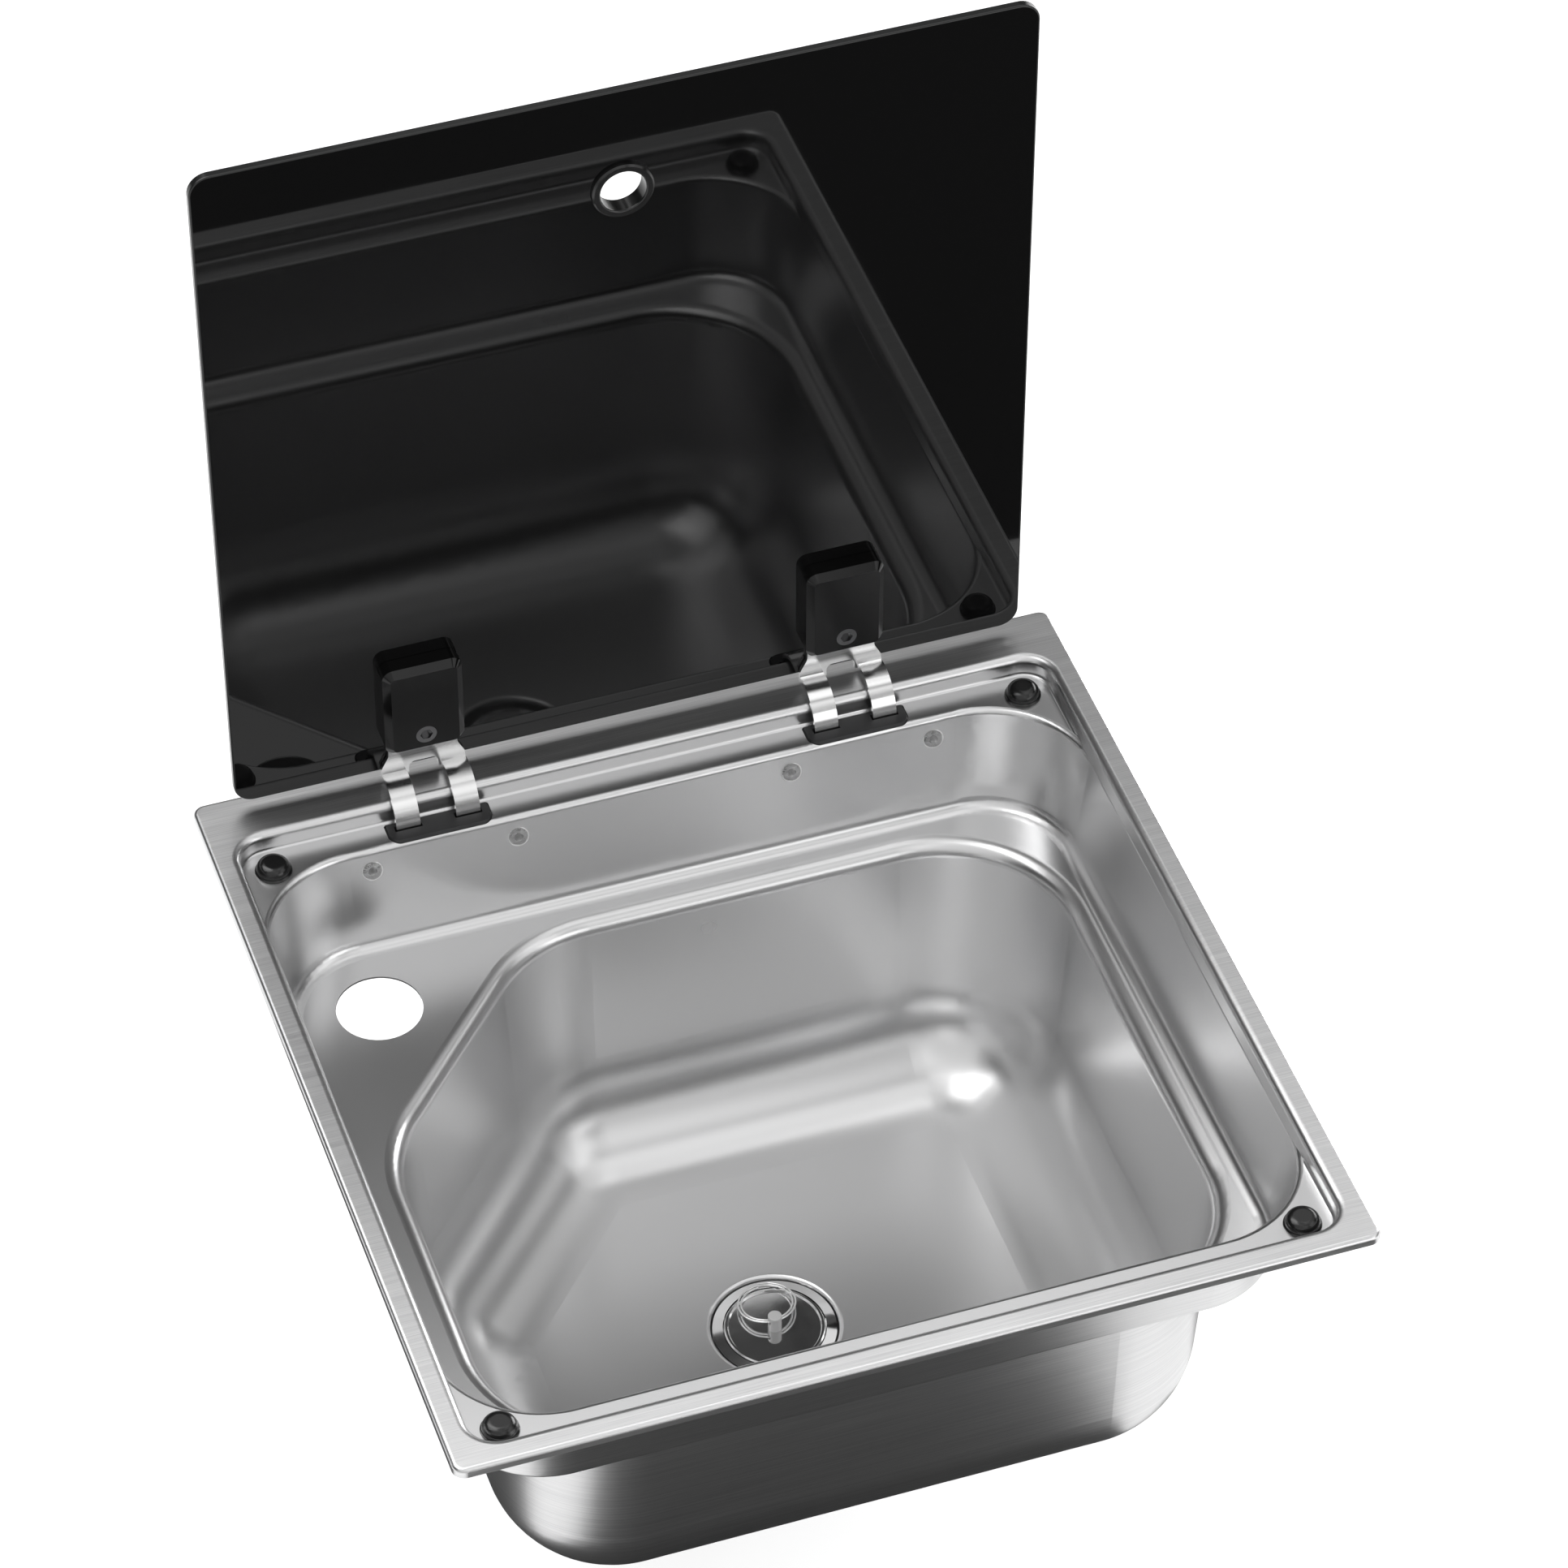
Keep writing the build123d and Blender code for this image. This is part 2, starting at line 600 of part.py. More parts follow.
def hinge_housing(side):
    """Carrier below the ledge that holds the pin, open where the arms swing."""
    x = side * hinge_x
    top = down(RECESS_DEPTH + HOUSING_DROP)
    low = top - HOUSING_HEIGHT
    back = pivot_y + HOUSING_BACK
    step = recess_back + SHEET + 0.6
    skin = SHEET + SEAT_GAP
    body = slice_x([(wall_y(top, skin), top), (wall_y(low, skin), low), (back, low),
                    (back, pivot_z + 6), (step, pivot_z + 6), (step, top)], x, HOUSING_WIDTH)
    flange_skin = skin + HOUSING_FLANGE
    body += slice_x([(wall_y(top, skin), top), (wall_y(low, skin), low),
                     (wall_y(low, flange_skin), low), (wall_y(top, flange_skin), top)],
                    x, FLANGE_WIDTH)
    for spacing in (-ARM_SPACING, ARM_SPACING):
        body -= pivot_round(x + spacing, ARM_WIDTH + 2 * ARM_PLAY, ARM_RADIUS + ARM_PLAY)
    body -= pivot_round(x, HOUSING_WIDTH + 2, PIN_RADIUS + PIN_PLAY)
    for screw_x in screw_places(side):
        body -= wall_plane(screw_x) * Pos(0, 0, -5) * Cylinder(
            WALL_SCREW_RADIUS + THREAD_PLAY, 14)
    return body


def pivot_pin(side):
    """Headed pin through the housing and both knuckles."""
    x = side * hinge_x
    pin = pivot_round(x, HOUSING_WIDTH + 5, PIN_RADIUS)
    end = HOUSING_WIDTH / 2 + SEAT_GAP + 0.7
    pin += pivot_round(x - side * end, 1.4, PIN_RADIUS + 1.2)
    groove = x + side * (HOUSING_WIDTH / 2 + SEAT_GAP + 0.4)
    return pin - (pivot_round(groove, 0.8, PIN_RADIUS + 1) - pivot_round(groove, 0.8, 1.5))


def pin_clip(side):
    """Open spring clip in the groove at the pin's outer end."""
    middle = side * (hinge_x + HOUSING_WIDTH / 2 + SEAT_GAP + 0.4)
    ring = pivot_round(middle, 0.6, 4.0) - pivot_round(middle, 2, 1.55)
    mouth = slice_x([(pivot_y - 0.9, pivot_z - 6), (pivot_y + 0.9, pivot_z - 6),
                     (pivot_y + 0.9, pivot_z), (pivot_y - 0.9, pivot_z)], middle, 2)
    return ring - mouth


def wall_screws(side):
    """Domed screws through the bowl's back wall into the housing's nuts."""
    length = SHEET + SEAT_GAP + HOUSING_FLANGE + NUT_HEIGHT + 1.5
    screws = []
    for x in screw_places(side):
        shank = Pos(0, 0, -length / 2) * Cylinder(WALL_SCREW_RADIUS, length)
        head = Pos(0, 0, 1.1) * Cylinder(WALL_SCREW_HEAD, 2.2)
        head = fillet(head.edges().group_by(Axis.Z)[-1], 1.9)
        screws.append(wall_plane(x) * (shank + head))
    return Compound(children=screws)


def wall_nuts(side):
    seat = SHEET + SEAT_GAP + HOUSING_FLANGE
    nuts = []
    for x in screw_places(side):
        flat = RegularPolygon(NUT_FLATS / 2, 6, major_radius=False)
        nut = extrude(flat - Circle(WALL_SCREW_RADIUS + THREAD_PLAY / 2), -NUT_HEIGHT)
        nuts.append(wall_plane(x) * Pos(0, 0, -seat) * nut)
    return Compound(children=nuts)


# --- Waste ---


def flange_gasket():
    low = down(FLOOR_DEPTH + DISH_DEPTH)
    inside = CUP_RADIUS + CUP_WALL + THREAD_PLAY
    outside = DISH_RADIUS - DISH_FOOT - 0.6
    return turned([(inside, low), (outside, low), (outside, low + GASKET),
                   (inside, low + GASKET)], WASTE_X, WASTE_Y)


def cup_floor():
    return waste_top() - SEAT_DEPTH


def tail_end():
    return cup_floor() - CUP_WALL - TAIL_LENGTH


def waste_body():
    """Flanged cup with the plug's seat and a narrower threaded tail."""
    top = waste_top()
    outside = CUP_RADIUS + CUP_WALL
    tail = TAIL_RADIUS + TAIL_WALL
    seat = cup_floor()
    body = turned([(CUP_RADIUS, top), (DISH_RADIUS - 0.7, top - 0.7),
                   (DISH_RADIUS - 0.7, top - WASTE_FLANGE), (outside, top - WASTE_FLANGE),
                   (outside, seat), (tail + 1, seat - CUP_WALL), (tail, seat - CUP_WALL),
                   (tail, tail_end()), (TAIL_RADIUS, tail_end()), (TAIL_RADIUS, seat),
                   (CUP_RADIUS, seat)], WASTE_X, WASTE_Y)
    return body


def under_washer():
    """Rubber washer pressed up against the floor by the back nut."""
    high = down(FLOOR_DEPTH + DISH_DEPTH) - SHEET
    inside = CUP_RADIUS + CUP_WALL + THREAD_PLAY
    outside = inside + WASHER_WIDTH
    low = high - WASHER_THICK
    return turned([(inside, low), (outside, low), (outside, high),
                   (inside, high)], WASTE_X, WASTE_Y)


def back_nut():
    """Ring nut with grip ribs, screwed up round the cup."""
    high = down(FLOOR_DEPTH + DISH_DEPTH) - SHEET - WASHER_THICK
    low = high - NUT_DEPTH
    flange = high - NUT_FLANGE_THICK
    inside = CUP_RADIUS + CUP_WALL + THREAD_PLAY
    skirt = inside + NUT_SKIRT
    nut = turned([(inside, low), (skirt, low), (skirt, flange), (inside + NUT_FLANGE, flange),
                  (inside + NUT_FLANGE, high), (inside, high)], WASTE_X, WASTE_Y)
    ribs = PolarLocations(skirt + NUT_RIB_OFFSET, NUT_RIBS)
    bar = Pos(0, 0, (low + flange) / 2) * Box(NUT_RIB_DEEP, NUT_RIB_WIDE, flange - low)
    for place in ribs:
        nut += Pos(WASTE_X, WASTE_Y, 0) * place * bar
    return nut


def tail_washer():
    high = tail_end()
    low = high - TAIL_WASHER
    return turned([(TAIL_RADIUS, low), (TAIL_RADIUS + TAIL_WALL, low),
                   (TAIL_RADIUS + TAIL_WALL, high), (TAIL_RADIUS, high)], WASTE_X, WASTE_Y)


def hose_spigot():
    """Reducing tail for a hose, held up by the coupling nut."""
    high = tail_end() - TAIL_WASHER
    collar = TAIL_RADIUS + TAIL_WALL
    under = high - SPIGOT_COLLAR
    neck = high - SPIGOT_NECK
    bore = SPIGOT_RADIUS - SPIGOT_WALL
    low = high - SPIGOT_LENGTH
    barbs = []
    for foot in (low + BARB_START + BARB_PITCH, low + BARB_START):
        head = foot + BARB_LENGTH
        barbs += [(SPIGOT_RADIUS, head), (SPIGOT_RADIUS + BARB_RISE, head), (SPIGOT_RADIUS, foot)]
    return turned([(TAIL_RADIUS, high), (collar, high), (collar, under),
                   (collar - SPIGOT_COLLAR, under), (SPIGOT_RADIUS, neck), *barbs,
                   (SPIGOT_RADIUS, low), (bore, low), (bore, neck),
                   (TAIL_RADIUS, under)], WASTE_X, WASTE_Y)


def coupling_nut():
    """Hexagonal nut that clamps the spigot's collar to the tail."""
    high = tail_end() + COUPLING_RISE
    seat = tail_end() - TAIL_WASHER - SPIGOT_COLLAR
    low = seat - COUPLING_FLOOR
    collar = TAIL_RADIUS + TAIL_WALL
    flats = RegularPolygon(collar + COUPLING_WALL, 6, major_radius=False)
    nut = extrude(Pos(WASTE_X, WASTE_Y, low) * flats, high - low)
    nut -= drill(WASTE_X, WASTE_Y, collar + THREAD_PLAY, seat, high + 1)
    return nut - drill(WASTE_X, WASTE_Y, collar - COUPLING_GRASP, low - 1, seat + 1)


# --- Plug ---


def plug_face():
    return down(FLOOR_DEPTH) - PLUG_SINK


def plug_plate():
    """Polished plate with a raised bead and a stem that carries the seal."""
    face = plug_face()
    rim = CUP_RADIUS - PLUG_PLAY
    under = face - PLUG_PLATE
    seal_top = cup_floor() + SEAL_THICK
    rise = PLUG_BEAD_RISE
    plate = turned([(0, face), (rim - PLUG_BEAD, face), (rim - PLUG_BEAD + 0.6, face + rise),
                    (rim - 0.6, face + rise), (rim, face + rise - 0.6), (rim, under),
                    (rim - 1.5, under), (rim - 1.5, face - 0.8), (rim - 3, under),
                    (PLUG_STEM + 1, under), (PLUG_STEM, under - 1),
                    (PLUG_STEM, seal_top + 1.5), (PLUG_STEM + 7, seal_top + 1.5),
                    (PLUG_STEM + 7, seal_top), (PLUG_STEM, seal_top),
                    (PLUG_STEM, cup_floor()), (PLUG_STEM + 1.5, cup_floor()),
                    (PLUG_STEM - 1, cup_floor() - 3), (0, cup_floor() - 3)],
                   WASTE_X, WASTE_Y)
    return plate - drill(WASTE_X, WASTE_Y, 1.6, face - 4, face + 1)


def plug_seal():
    """Rubber ring under the plate that closes on the waste's seat."""
    low = cup_floor()
    high = low + SEAL_THICK
    outside = CUP_RADIUS - PLUG_PLAY - 0.7
    return turned([(PLUG_STEM + 0.05, low), (outside - 2, low), (outside, low + 1),
                   (outside, high - 1), (outside - 1, high), (PLUG_STEM + 0.05, high)],
                  WASTE_X, WASTE_Y)


def ring_eye():
    """Middle of the hole that the pull ring passes through."""
    return (WASTE_X, WASTE_Y, plug_face() + POST_HEIGHT - RING_EYE_DROP)


def plug_post():
    """Clear plastic post with a cross hole for the ring."""
    face = plug_face()
    post = drill(WASTE_X, WASTE_Y, POST_RADIUS, face, face + POST_HEIGHT)
    post = fillet(post.edges().group_by(Axis.Z)[-1], 0.5)
    post += drill(WASTE_X, WASTE_Y, 1.5, face - 3.5, face)
    x, y, z = ring_eye()
    eye = Plane(origin=(x - 10, y, z), z_dir=(1, 0, 0)) * Circle(RING_EYE)
    return post - extrude(eye, 20)


def pull_ring():
    """Double-turn split ring, lying back on the waste's flange."""
    droop = radians(RING_DROOP)
    flat = Plane(origin=ring_eye(), x_dir=(1, 0, 0), z_dir=(0, sin(droop), cos(droop)))
    middle = RING_RADIUS + RING_PITCH / 2
    turns = []
    for half in range(4):
        radius = RING_RADIUS + half * RING_PITCH / 2
        centre = middle + (half % 2) * RING_PITCH / 2
        turns.append(CenterArc((0, centre), radius, 90 + 180 * (half % 2), 180))
    path = flat * Wire([edge for turn in turns for edge in turn.edges()])
    start = Plane(origin=path @ 0, z_dir=path % 0)
    print("pull ring: gap between turns", round(RING_PITCH - 2 * RING_WIRE, 2), "mm")
    return sweep(start * Circle(RING_WIRE), path=path)


def build():
    pieces = {
        "sink_pressing": sink_pressing(),
        "rim_seal": rim_seal(),
        "lid_glass": lid_glass(),
        "finger_grip": finger_grip(),
        "flange_gasket": flange_gasket(),
        "waste_body": waste_body(),
        "under_washer": under_washer(),
        "back_nut": back_nut(),
        "tail_washer": tail_washer(),
        "hose_spigot": hose_spigot(),
        "coupling_nut": coupling_nut(),
        "plug_plate": plug_plate(),
        "plug_seal": plug_seal(),
        "plug_post": plug_post(),
        "pull_ring": pull_ring(),
    }
    for corner, (x, y) in bumper_places().items():
        pieces["bumper_" + corner] = lid_bumper(x, y)
    for side, name in ((-1, "left"), (1, "right")):
        pieces["hinge_bracket_" + name] = hinge_bracket(side)
        pieces["hinge_block_" + name] = hinge_block(side)
        pieces["clamp_screw_" + name] = clamp_screw(side)
        pieces["glass_pad_" + name] = glass_pad(side)
        pieces["slot_insert_" + name] = slot_insert(side)
        pieces["hinge_housing_" + name] = hinge_housing(side)
        pieces["pivot_pin_" + name] = pivot_pin(side)
        pieces["pin_clip_" + name] = pin_clip(side)
        pieces["wall_screws_" + name] = wall_screws(side)
        pieces["wall_nuts_" + name] = wall_nuts(side)
    return pieces


os.makedirs("parts", exist_ok=True)
for node, shape in build().items():
    export_step(shape, "parts/" + node + ".step")
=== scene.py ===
import json
import math

import bpy
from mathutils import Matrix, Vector

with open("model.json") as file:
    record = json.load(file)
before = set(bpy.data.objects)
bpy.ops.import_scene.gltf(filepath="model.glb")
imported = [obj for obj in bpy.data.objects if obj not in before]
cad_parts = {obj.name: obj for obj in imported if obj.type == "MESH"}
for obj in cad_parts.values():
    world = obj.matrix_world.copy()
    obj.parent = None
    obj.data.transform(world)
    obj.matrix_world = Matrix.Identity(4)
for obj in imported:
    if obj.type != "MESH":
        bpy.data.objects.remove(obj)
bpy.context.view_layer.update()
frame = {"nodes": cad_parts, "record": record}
nodes = frame["nodes"]
scene = bpy.context.scene


# ---------------------------------------------------------------- camera
# Where the photograph was taken from, in the part's frame, in metres.
CAMERA_PLACE = (-0.63252, -1.86008, 2.06379)
CAMERA_TURN = (44.18, 0.0, -18.636)
CAMERA_LENS = 153.71
CAMERA_SHIFT = (0.01687, 0.1081)

camera = bpy.data.objects.new("camera", bpy.data.cameras.new("camera"))
scene.collection.objects.link(camera)
camera.location = CAMERA_PLACE
camera.rotation_euler = [math.radians(a) for a in CAMERA_TURN]
camera.data.sensor_width = 36.0
camera.data.lens = CAMERA_LENS
camera.data.shift_x, camera.data.shift_y = CAMERA_SHIFT
camera.data.clip_start, camera.data.clip_end = 0.05, 50.0
scene.camera = camera
scene.view_settings.view_transform = "Standard"


# ---------------------------------------------------------------- materials
def new_material(name):
    material = bpy.data.materials.new(name)
    material.use_nodes = True
    tree = material.node_tree
    return material, tree, tree.nodes["Principled BSDF"]


def add(tree, kind, **values):
    """A node of that kind. Numbered keys such as in_0 set its inputs."""
    node = tree.nodes.new(kind)
    for key, value in values.items():
        if key.startswith("in_"):
            socket = int(key[3:]) if key[3:].isdigit() else key[3:]
            node.inputs[socket].default_value = value
        else:
            setattr(node, key, value)
    return node


def join(tree, source, target, out=0, into=0):
    tree.links.new(source.outputs[out], target.inputs[into])
    return target


def grain(tree, stretch, scale, detail=3.0):
    """Noise in the part's own coordinates, drawn out by the three stretches."""
    place = add(tree, "ShaderNodeTexCoord")
    mapping = add(tree, "ShaderNodeMapping")
    mapping.inputs["Scale"].default_value = stretch
    noise = add(tree, "ShaderNodeTexNoise", in_Scale=scale, in_Detail=detail)
    join(tree, place, mapping, "Object", 0)
    join(tree, mapping, noise, 0, 0)
    return noise


def spread(tree, source, low, high):
    """The noise's middle range, spread over low to high."""
    node = add(tree, "ShaderNodeMapRange")
    node.inputs["From Min"].default_value = 0.3
    node.inputs["From Max"].default_value = 0.7
    node.inputs["To Min"].default_value = low
    node.inputs["To Max"].default_value = high
    return join(tree, source, node, 0, 0)


def bump(tree, bsdf, source, strength, distance):
    node = add(tree, "ShaderNodeBump", in_Strength=strength, in_Distance=distance)
    join(tree, source, node, 0, "Height")
    join(tree, node, bsdf, 0, "Normal")
    return node


def math_node(tree, operation, a, b, out_a=0, out_b=0):
    """a (operation) b, where b is a node or a number."""
    node = add(tree, "ShaderNodeMath", operation=operation)
    join(tree, a, node, out_a, 0)
    if isinstance(b, float):
        node.inputs[1].default_value = b
    else:
        join(tree, b, node, out_b, 1)
    return node


def blend_by(tree, factor, a, b, out=0):
    """a where the factor is 0, b where it is 1."""
    node = add(tree, "ShaderNodeMix", data_type="FLOAT")
    join(tree, factor, node, out, 0)
    for value, socket in ((a, 2), (b, 3)):
        if isinstance(value, float):
            node.inputs[socket].default_value = value
        else:
            join(tree, value, node, 0, socket)
    return node


OUTWARD_LEAST = 0.15          # how far a normal leans outward or down to be outside
RIM_LEVEL = 0.003             # metres; above it is the flat rim
BRUSH_DEPTH = 0.00002         # metres, height of the brushing
MOULD_DEPTH = 0.00003         # metres, height of a moulded texture


def bowl_steel():
    """Satin inside, with fine straight brushing outside and on the flat rim."""
    material, tree, bsdf = new_material("bowl_steel")
    bsdf.inputs["Metallic"].default_value = 1.0
    bsdf.inputs["Anisotropic"].default_value = 0.3
    tangent = add(tree, "ShaderNodeTangent", direction_type="RADIAL", axis="Z")
    join(tree, tangent, bsdf, 0, "Tangent")
    # outside: where the normal points away from the bowl's middle, or down
    geometry = add(tree, "ShaderNodeNewGeometry")
    normal = add(tree, "ShaderNodeSeparateXYZ")
    join(tree, geometry, normal, "Normal", 0)
    outward = add(tree, "ShaderNodeVectorMath", operation="DOT_PRODUCT")
    level = add(tree, "ShaderNodeVectorMath", operation="MULTIPLY", in_1=(1.0, 1.0, 0.0))
    join(tree, geometry, level, "Position", 0)
    direction = add(tree, "ShaderNodeVectorMath", operation="NORMALIZE")
    join(tree, level, direction)
    join(tree, geometry, outward, "Normal", 0)
    join(tree, direction, outward, 0, 1)
    lifted = math_node(tree, "SUBTRACT", outward, normal, "Value", "Z")
    outside = math_node(tree, "GREATER_THAN", lifted, OUTWARD_LEAST)
    # the flat rim is brushed too
    place = add(tree, "ShaderNodeSeparateXYZ")
    join(tree, geometry, place, "Position", 0)
    rim = math_node(tree, "GREATER_THAN", place, RIM_LEVEL, "Z")
    outside = math_node(tree, "MAXIMUM", outside, rim)
    flat = math_node(tree, "POWER", math_node(tree, "ABSOLUTE", normal, 0.0, "Z"), 4.0)
    # brushing: long lines across on walls, and along X on level faces
    wall_lines = grain(tree, (18.0, 18.0, 2600.0), 1.0, 4.0)
    level_lines = grain(tree, (22.0, 2400.0, 40.0), 1.0, 4.0)
    lines = blend_by(tree, flat, wall_lines, level_lines)
    clouds = grain(tree, (1.0, 1.0, 1.0), 9.0, 2.0)
    inner = blend_by(tree, clouds, 0.26, 0.31)
    outer = blend_by(tree, lines, 0.26, 0.40)
    rough = blend_by(tree, outside, inner, outer)
    join(tree, rough, bsdf, 0, "Roughness")
    tone = add(tree, "ShaderNodeMix", data_type="RGBA")
    tone.inputs[6].default_value = (0.62, 0.62, 0.625, 1.0)
    tone.inputs[7].default_value = (0.78, 0.78, 0.78, 1.0)
    join(tree, blend_by(tree, outside, 0.5, spread(tree, lines, 0.0, 1.0)), tone, 0, 0)
    join(tree, tone, bsdf, 2, "Base Color")
    depth = blend_by(tree, outside, 0.005, 0.15)
    node = bump(tree, bsdf, lines, 0.2, BRUSH_DEPTH)
    join(tree, depth, node, 0, "Strength")
    return material


def metal(name, color, low, high, stretch=(1.0, 1.0, 1.0), scale=60.0):
    """Plated or turned metal, whose gloss varies a little along its grain."""
    material, tree, bsdf = new_material(name)
    bsdf.inputs["Metallic"].default_value = 1.0
    bsdf.inputs["Base Color"].default_value = (*color, 1.0)
    noise = grain(tree, stretch, scale)
    join(tree, spread(tree, noise, low, high), bsdf, 0, "Roughness")
    return material


def moulded(name, color, low, high, scale=900.0, texture=0.15, gloss=0.5, shades=0.3):
    """Plastic or rubber with a fine moulded texture and a slight change of shade."""
    material, tree, bsdf = new_material(name)
    noise = grain(tree, (1.0, 1.0, 1.0), scale)
    patches = grain(tree, (1.0, 1.0, 1.0), 70.0, 2.0)
    join(tree, spread(tree, patches, low, high), bsdf, 0, "Roughness")
    tone = add(tree, "ShaderNodeMix", data_type="RGBA")
    tone.inputs[6].default_value = (*[c * (1.0 - shades) for c in color], 1.0)
    tone.inputs[7].default_value = (*[c * (1.0 + shades) for c in color], 1.0)
    join(tree, patches, tone, 0, 0)
    join(tree, tone, bsdf, 2, "Base Color")
    bsdf.inputs["Specular IOR Level"].default_value = gloss
    bump(tree, bsdf, noise, texture, MOULD_DEPTH)
    return material


def black_glass():
    """Solid black toughened glass: polished faces, ground edges."""
    material, tree, bsdf = new_material("black_glass")
    bsdf.inputs["IOR"].default_value = 1.5
    bsdf.inputs["Specular IOR Level"].default_value = 0.4
    geometry = add(tree, "ShaderNodeNewGeometry")
    normal = add(tree, "ShaderNodeSeparateXYZ")
    join(tree, geometry, normal, "True Normal", 0)
    facing = math_node(tree, "ABSOLUTE", normal, 0.0, "Y")
    edge = math_node(tree, "LESS_THAN", facing, 0.97)
    smear = grain(tree, (1.0, 1.0, 1.0), 14.0, 2.0)
    face = spread(tree, smear, 0.012, 0.03)
    join(tree, blend_by(tree, edge, face, 0.22), bsdf, 0, "Roughness")
    tone = add(tree, "ShaderNodeMix", data_type="RGBA")
    tone.inputs[6].default_value = (0.0035, 0.0035, 0.0036, 1.0)
    tone.inputs[7].default_value = (0.012, 0.0125, 0.0125, 1.0)
    join(tree, edge, tone, 0, 0)
    join(tree, tone, bsdf, 2, "Base Color")
    return material


def clear_plastic():
    """Clear plastic, clear face on; where its surface turns away from the view it turns milky
    white, a painted bright rim.
    """
    material, tree, bsdf = new_material("clear_plastic")
    bsdf.inputs["Base Color"].default_value = (0.96, 0.96, 0.96, 1.0)
    bsdf.inputs["IOR"].default_value = 1.5
    bsdf.inputs["Specular IOR Level"].default_value = 1.0
    # painted highlight: transmission falls towards the outline, so the white base colour
    # paints a bright ring round each clear dome
    painted_rim_facing = add(tree, "ShaderNodeLayerWeight", in_Blend=0.5)
    clear = add(tree, "ShaderNodeMapRange")
    clear.inputs["From Min"].default_value = 0.3
    clear.inputs["From Max"].default_value = 0.55
    clear.inputs["To Min"].default_value = 0.9
    clear.inputs["To Max"].default_value = 0.1
    join(tree, painted_rim_facing, clear, "Facing", 0)
    join(tree, clear, bsdf, 0, "Transmission Weight")
    haze = grain(tree, (1.0, 1.0, 1.0), 300.0, 2.0)
    join(tree, spread(tree, haze, 0.01, 0.03), bsdf, 0, "Roughness")
    return material


looks = {
    "bowl_steel": bowl_steel(),
    "polished_steel": metal("polished_steel", (0.74, 0.74, 0.74), 0.05, 0.12),
    "hinge_chrome": metal("hinge_chrome", (0.80, 0.80, 0.80), 0.16, 0.22,
                          (20.0, 900.0, 900.0), 1.0),
    "black_glass": black_glass(),
    "gloss_black": moulded("gloss_black", (0.003, 0.003, 0.003), 0.07, 0.12,
                           texture=0.02, gloss=0.35),
    "dark_plastic": moulded("dark_plastic", (0.030, 0.030, 0.031), 0.36, 0.46),
    "grey_plastic": moulded("grey_plastic", (0.16, 0.16, 0.16), 0.38, 0.5),
    "black_rubber": moulded("black_rubber", (0.008, 0.008, 0.008), 0.18, 0.26),
    "foam_seal": moulded("foam_seal", (0.035, 0.035, 0.035), 0.75, 0.9, 1600.0, 0.6, 0.25),
    "clear_plastic": clear_plastic(),
    "bond_pad": moulded("bond_pad", (0.03, 0.03, 0.03), 0.6, 0.75),
}
slots = {s["node"]: s["material_slot"] for s in frame["record"]["subparts"]}
dark_screw = metal("dark_screw", (0.22, 0.22, 0.223), 0.06, 0.12)
own_looks = {                 # nodes whose look differs from their slot's
    "clamp_screw_left": dark_screw,
    "clamp_screw_right": dark_screw,
    "plug_post": moulded("milky_plastic", (0.52, 0.52, 0.52), 0.25, 0.35, shades=0.05),
}
for name, node in nodes.items():
    node.data.materials.clear()
    node.data.materials.append(own_looks.get(name, looks[slots[name]]))


# ---------------------------------------------------------------- floor and light
def stage_material(name, color, white):
    """A pale surface that the camera, metal and glass see as plain white."""
    material, tree, bsdf = new_material(name)
    tree.nodes.remove(bsdf)
    out = tree.nodes["Material Output"]
    pale = add(tree, "ShaderNodeBsdfDiffuse")
    pale.inputs["Color"].default_value = (*color, 1.0)
    glow = add(tree, "ShaderNodeEmission", in_Strength=white)
    path = add(tree, "ShaderNodeLightPath")
    seen = math_node(tree, "MAXIMUM", path, path, "Is Camera Ray", "Is Glossy Ray")
    seen = math_node(tree, "MAXIMUM", seen, path, 0, "Is Transmission Ray")
    join(tree, math_node(tree, "MULTIPLY", seen, white), glow, 0, "Strength")
    both = add(tree, "ShaderNodeAddShader")
    join(tree, pale, both, 0, 0)
    join(tree, glow, both, 0, 1)
    join(tree, both, out, 0, "Surface")
    return material


FLOOR_LEVEL = -0.262
FLOOR_SIZE = 60.0
CARD_LIFT = 0.002             # metres, cards above the floor
bpy.ops.mesh.primitive_plane_add(size=FLOOR_SIZE, location=(0.0, 0.0, FLOOR_LEVEL))
floor = bpy.context.object
floor.name = "floor"
floor.data.materials.append(stage_material("floor_white", (0.5, 0.5, 0.5), 0.8))

# Dark cards round the foot of the set, which only show in what is polished.
dark, tree, bsdf = new_material("dark_card")
bsdf.inputs["Base Color"].default_value = (0.05, 0.05, 0.05, 1.0)
bsdf.inputs["Roughness"].default_value = 0.9
CARDS = {
    "front_card": ((-0.19, -0.10), (0.15, -0.10), (0.15, -0.33), (0.295, -0.33),
                   (0.295, -0.14), (0.36, -0.14), (0.56, -0.60), (0.62, -1.6), (-0.19, -1.6)),
    "under_card": ((-0.17, -0.10), (0.20, -0.10), (0.20, 0.30), (-0.17, 0.30)),
    "left_card": ((-0.60, -0.10), (-0.17, -0.10), (-0.17, 0.30), (-0.60, 0.30)),
    "right_card": ((0.20, -0.05), (0.60, -0.05), (0.60, 0.40), (0.20, 0.40)),
}
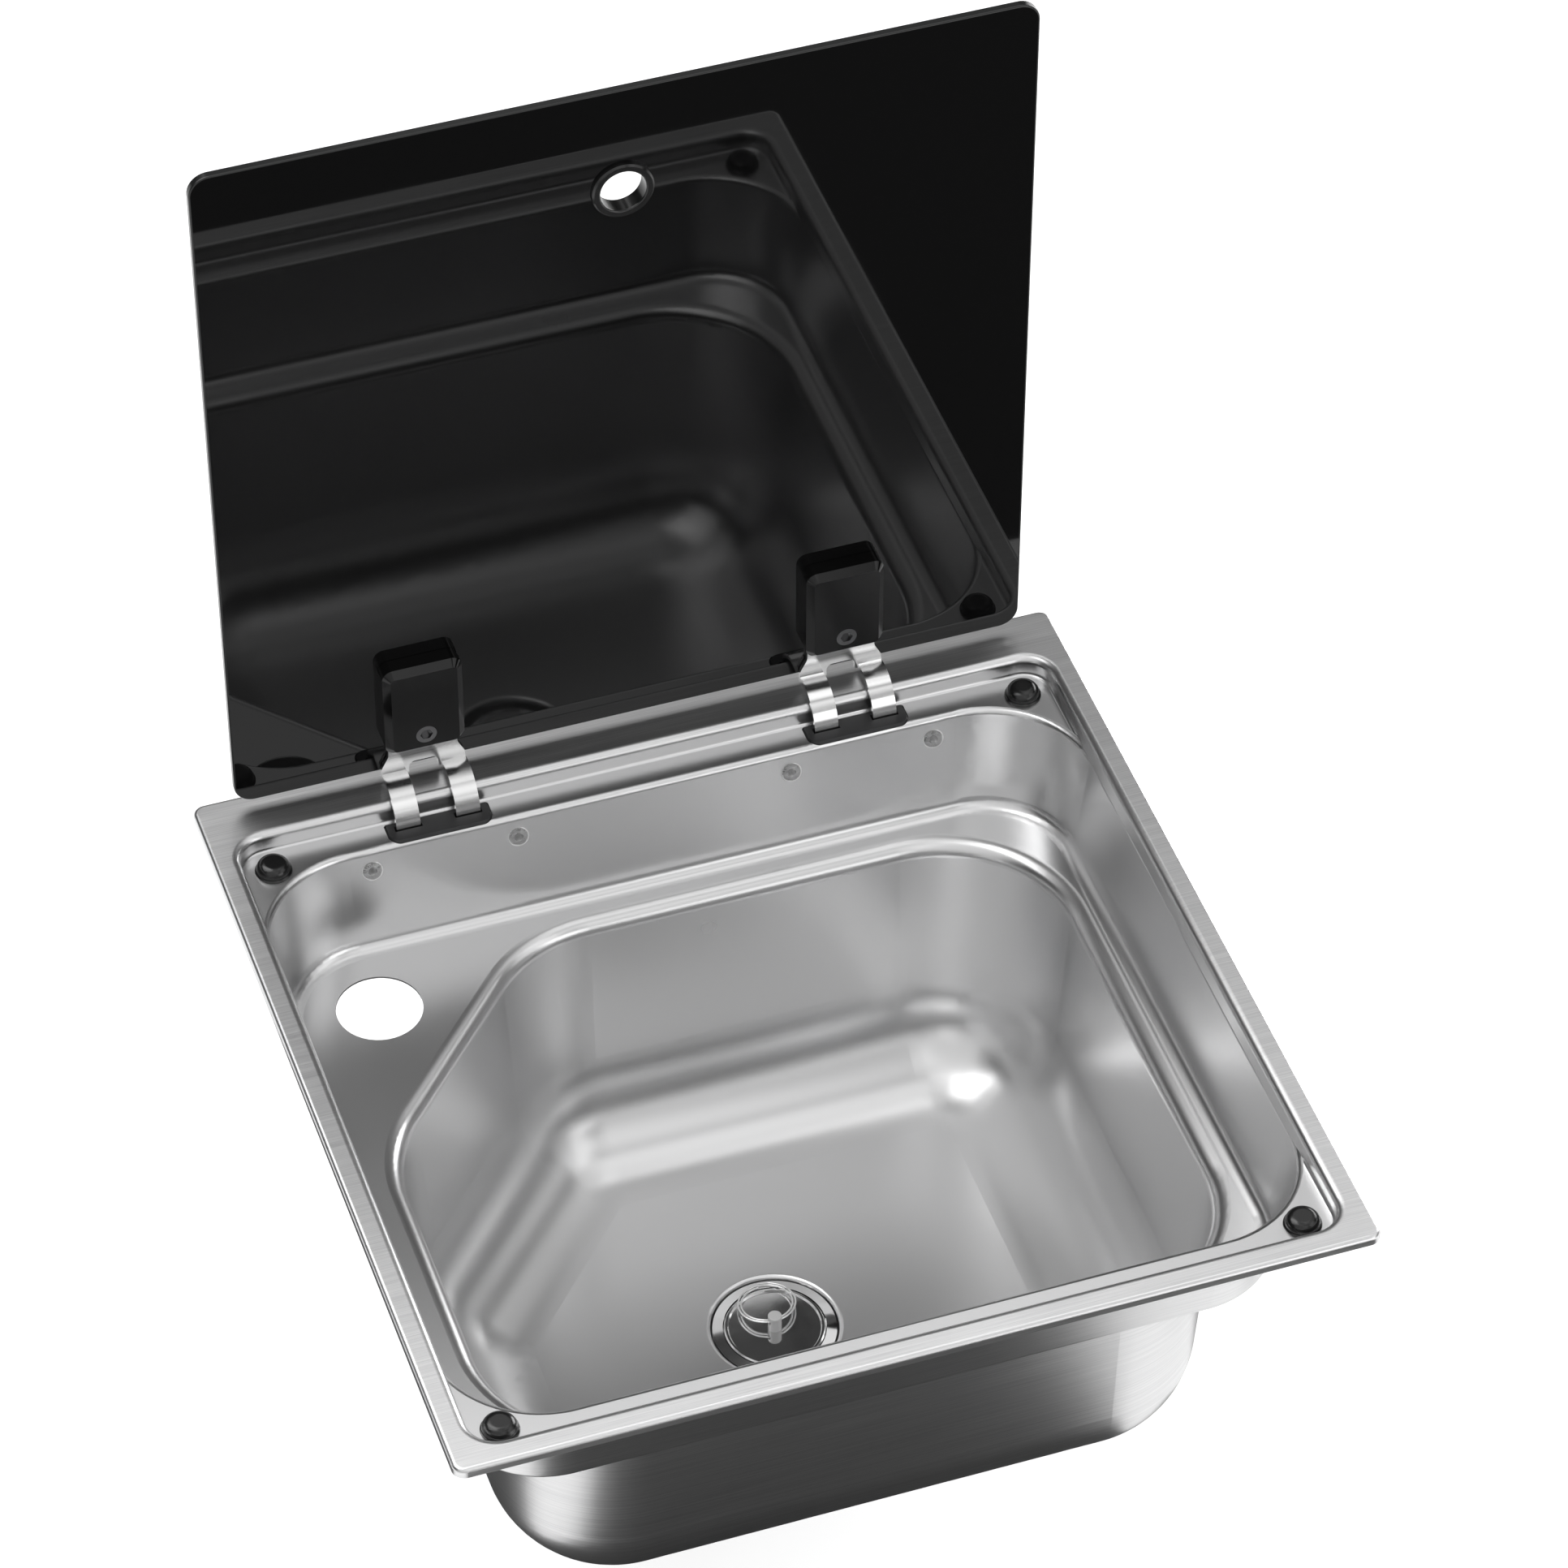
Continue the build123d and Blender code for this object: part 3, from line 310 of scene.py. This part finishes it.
for name, corners in CARDS.items():
    sheet = bpy.data.meshes.new(name)
    order = tuple(range(len(corners)))
    sheet.from_pydata([(x, y, FLOOR_LEVEL + CARD_LIFT) for x, y in corners], [], [order])
    card = bpy.data.objects.new(name, sheet)
    scene.collection.objects.link(card)
    card.data.materials.append(dark)
    for kind in ("camera", "diffuse", "shadow", "transmission", "volume_scatter"):
        setattr(card, "visible_" + kind, False)

world = bpy.data.worlds.new("world")
scene.world = world
world.use_nodes = True
sky = world.node_tree
back = sky.nodes["Background"]
AMBIENT = 0.01
path = add(sky, "ShaderNodeLightPath")
level = add(sky, "ShaderNodeMix", data_type="FLOAT")
level.inputs[2].default_value = AMBIENT
level.inputs[3].default_value = 1.0
join(sky, path, level, "Is Camera Ray", 0)
join(sky, level, back, 0, "Strength")
back.inputs["Color"].default_value = (1.0, 1.0, 1.0, 1.0)


LAMP_DISTANCE = 2.2


def softbox(name, azimuth, elevation, side, power):
    """A square lamp aimed at the bowl. Azimuth 0 is the front, 90 the right side."""
    a, e = math.radians(azimuth), math.radians(elevation)
    away = Vector((math.sin(a) * math.cos(e), -math.cos(a) * math.cos(e), math.sin(e)))
    lamp = bpy.data.lights.new(name, "AREA")
    lamp.shape = "RECTANGLE"
    lamp.size, lamp.size_y, lamp.energy = side, side, power
    box = bpy.data.objects.new(name, lamp)
    box.location = away * LAMP_DISTANCE
    box.rotation_mode = "QUATERNION"
    box.rotation_quaternion = away.to_track_quat("Z", "Y")
    scene.collection.objects.link(box)


LAMPS = {                     # azimuth and elevation in degrees, side in metres, watts
    "right_low": (120, 12, 1.3, 37.0),
    "front_left": (-30, 35, 2.4, 2.5),
    "front_left_wide": (-30, 40, 3.2, 18.5),
    "left_high": (-120, 60, 1.6, 21.0),
    "front_low": (30, 12, 1.3, 9.6),
    "back_left_high": (-150, 60, 1.3, 8.7),
    "front_left_high": (-30, 60, 3.0, 3.6),
    "right_mid": (60, 35, 1.3, 5.1),
    "back_right_high": (150, 60, 1.3, 4.9),
    "right_high": (90, 60, 1.3, 4.4),
    "front_mid": (30, 35, 2.0, 3.0),
    "overhead": (0, 88, 1.3, 3.5),
    "front_high": (30, 60, 2.0, 2.0),
}
for name, lamp_values in LAMPS.items():
    softbox(name, *lamp_values)
